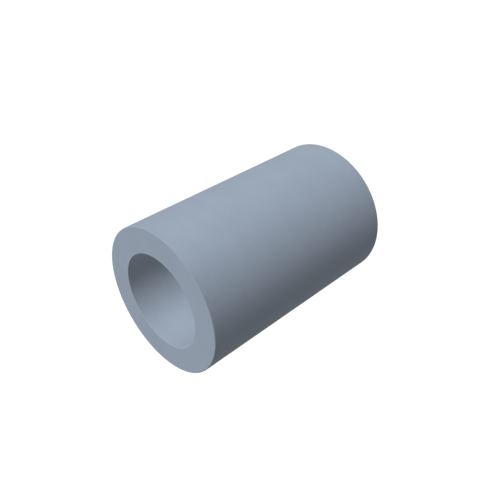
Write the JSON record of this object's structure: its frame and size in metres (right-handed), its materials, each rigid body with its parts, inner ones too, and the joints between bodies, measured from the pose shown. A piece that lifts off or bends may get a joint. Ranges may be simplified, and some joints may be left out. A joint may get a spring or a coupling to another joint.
{
  "type": "spacer sleeve",
  "caption": "Short plain round sleeve with a through bore, which slides over a screw and holds two parts a set distance apart.",
  "frame": {"origin": "centre of the lower end face, on the bore's axis", "axes": "+Z along the bore's axis, from the lower end face to the upper one; the sleeve stands on its lower end face"},
  "size_m": [0.009, 0.009, 0.014],
  "materials": {
    "plated_steel": "matt blue-grey zinc plating on turned steel"
  },
  "bodies": {
    "root": {"sleeve": "plated_steel"}
  },
  "joints": []
}
